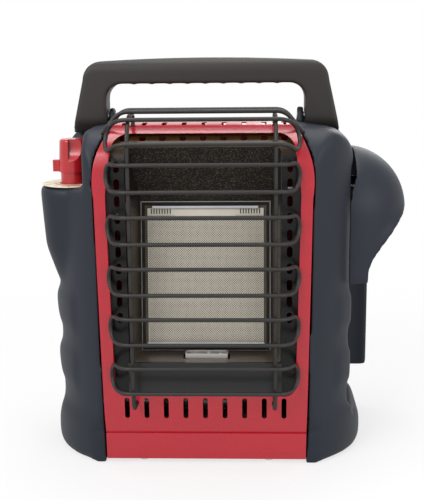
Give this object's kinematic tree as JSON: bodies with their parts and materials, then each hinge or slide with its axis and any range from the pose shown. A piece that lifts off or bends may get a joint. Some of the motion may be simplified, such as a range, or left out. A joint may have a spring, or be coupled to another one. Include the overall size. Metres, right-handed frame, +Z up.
{
  "type": "portable propane heater",
  "caption": "Portable radiant propane heater: red steel casing with a wire guard over a ceramic burner, black side covers, fold-down carry handle, side knob and cylinder hood.",
  "frame": {"origin": "middle of the footprint, on the table under the feet", "axes": "+X to the right seen from the front, front towards -Y, +Z up"},
  "size_m": [0.3539, 0.2, 0.381],
  "materials": {
    "red_enamel": "glossy enamel",
    "black_steel": "satin heat-proof paint",
    "guard_wire": "satin coated wire",
    "bright_steel": "brushed",
    "screen_steel": "dull wire cloth",
    "aluminium_tube": "drawn",
    "cast_metal": "cast",
    "brass": "machined",
    "ceramic": "matt fired",
    "white_insulator": "glazed",
    "gasket_felt": "felt",
    "black_plastic": "fine grain",
    "cap_plastic": "moulded",
    "red_knob": "glossy",
    "dial_print": "printed ring",
    "rubber_lead": "sleeved",
    "seal_rubber": "soft"
  },
  "bodies": {
    "heater": {"front_bezel": "red_enamel", "rear_casing": "red_enamel", "base_pan": "black_steel", "rear_heat_shield": "bright_steel", "left_side_cover": "black_plastic", "right_side_cover": "black_plastic", "cylinder_hood": "black_plastic", "heat_shield_frame": "black_steel", "reflector": "bright_steel", "lower_lip": "black_steel", "ceramic_plaque": "ceramic", "plaque_gasket": "gasket_felt", "burner_housing": "bright_steel", "burner_frame": "bright_steel", "burner_screen": "screen_steel", "pilot_bracket": "bright_steel", "pilot_burner": "brass", "thermocouple": "screen_steel", "igniter_electrode": "white_insulator", "orifice_fitting": "brass", "venturi_tube": "bright_steel", "supply_tube": "aluminium_tube", "burner_tube": "aluminium_tube", "pilot_tube": "aluminium_tube", "thermocouple_lead": "brass", "igniter_lead": "rubber_lead", "piezo_igniter": "black_plastic", "valve_body": "brass", "valve_screws": "bright_steel", "dial_plate": "dial_print", "swivel_mount": "cast_metal", "swivel_pin": "bright_steel", "tip_switch_housing": "cap_plastic", "tip_switch_cover": "cap_plastic", "tip_switch_pin": "bright_steel", "guard_loops": "guard_wire", "guard_uprights": "guard_wire", "handle_pins": "bright_steel", "base_screws": "bright_steel", "cover_screws_left": "bright_steel", "cover_screws_right": "bright_steel"},
    "handle": {"carry_handle": "black_plastic"},
    "valve_turn": {"valve_rotor": "brass", "knob_spring": "bright_steel"},
    "knob": {"control_knob": "red_knob", "valve_stem": "bright_steel"},
    "regulator": {"regulator_body": "cast_metal", "regulator_cap": "cap_plastic", "cylinder_inlet": "brass", "inlet_seal": "seal_rubber"},
    "pendulum": {"tip_pendulum": "bright_steel"}
  },
  "joints": [
    {"name": "handle_fold", "type": "hinge", "parent": "heater", "child": "handle", "pos_m": [-0.01825, 0.01695, 0.325], "axis": [-1, 0, 0], "range_deg": [0, 74]},
    {"name": "knob_turn", "type": "hinge", "parent": "heater", "child": "valve_turn", "pos_m": [-0.14525, -0.01605, 0.25], "axis": [0, 0, 1], "range_deg": [0, 120]},
    {"name": "knob_push", "type": "slide", "parent": "valve_turn", "child": "knob", "axis": [0, 0, -1], "range_m": [0, 0.004], "stiffness_N_per_m": 400, "springref_m": -0.004, "deforming": ["knob_spring"]},
    {"name": "regulator_swing", "type": "hinge", "parent": "heater", "child": "regulator", "pos_m": [0.09575, 0.02195, 0.25], "axis": [0, -1, 0], "range_deg": [0, 18]},
    {"name": "tip_swing", "type": "hinge", "parent": "heater", "child": "pendulum", "pos_m": [-0.07625, 0.04595, 0.0398], "axis": [0, 1, 0], "range_deg": [-20, 20]}
  ]
}
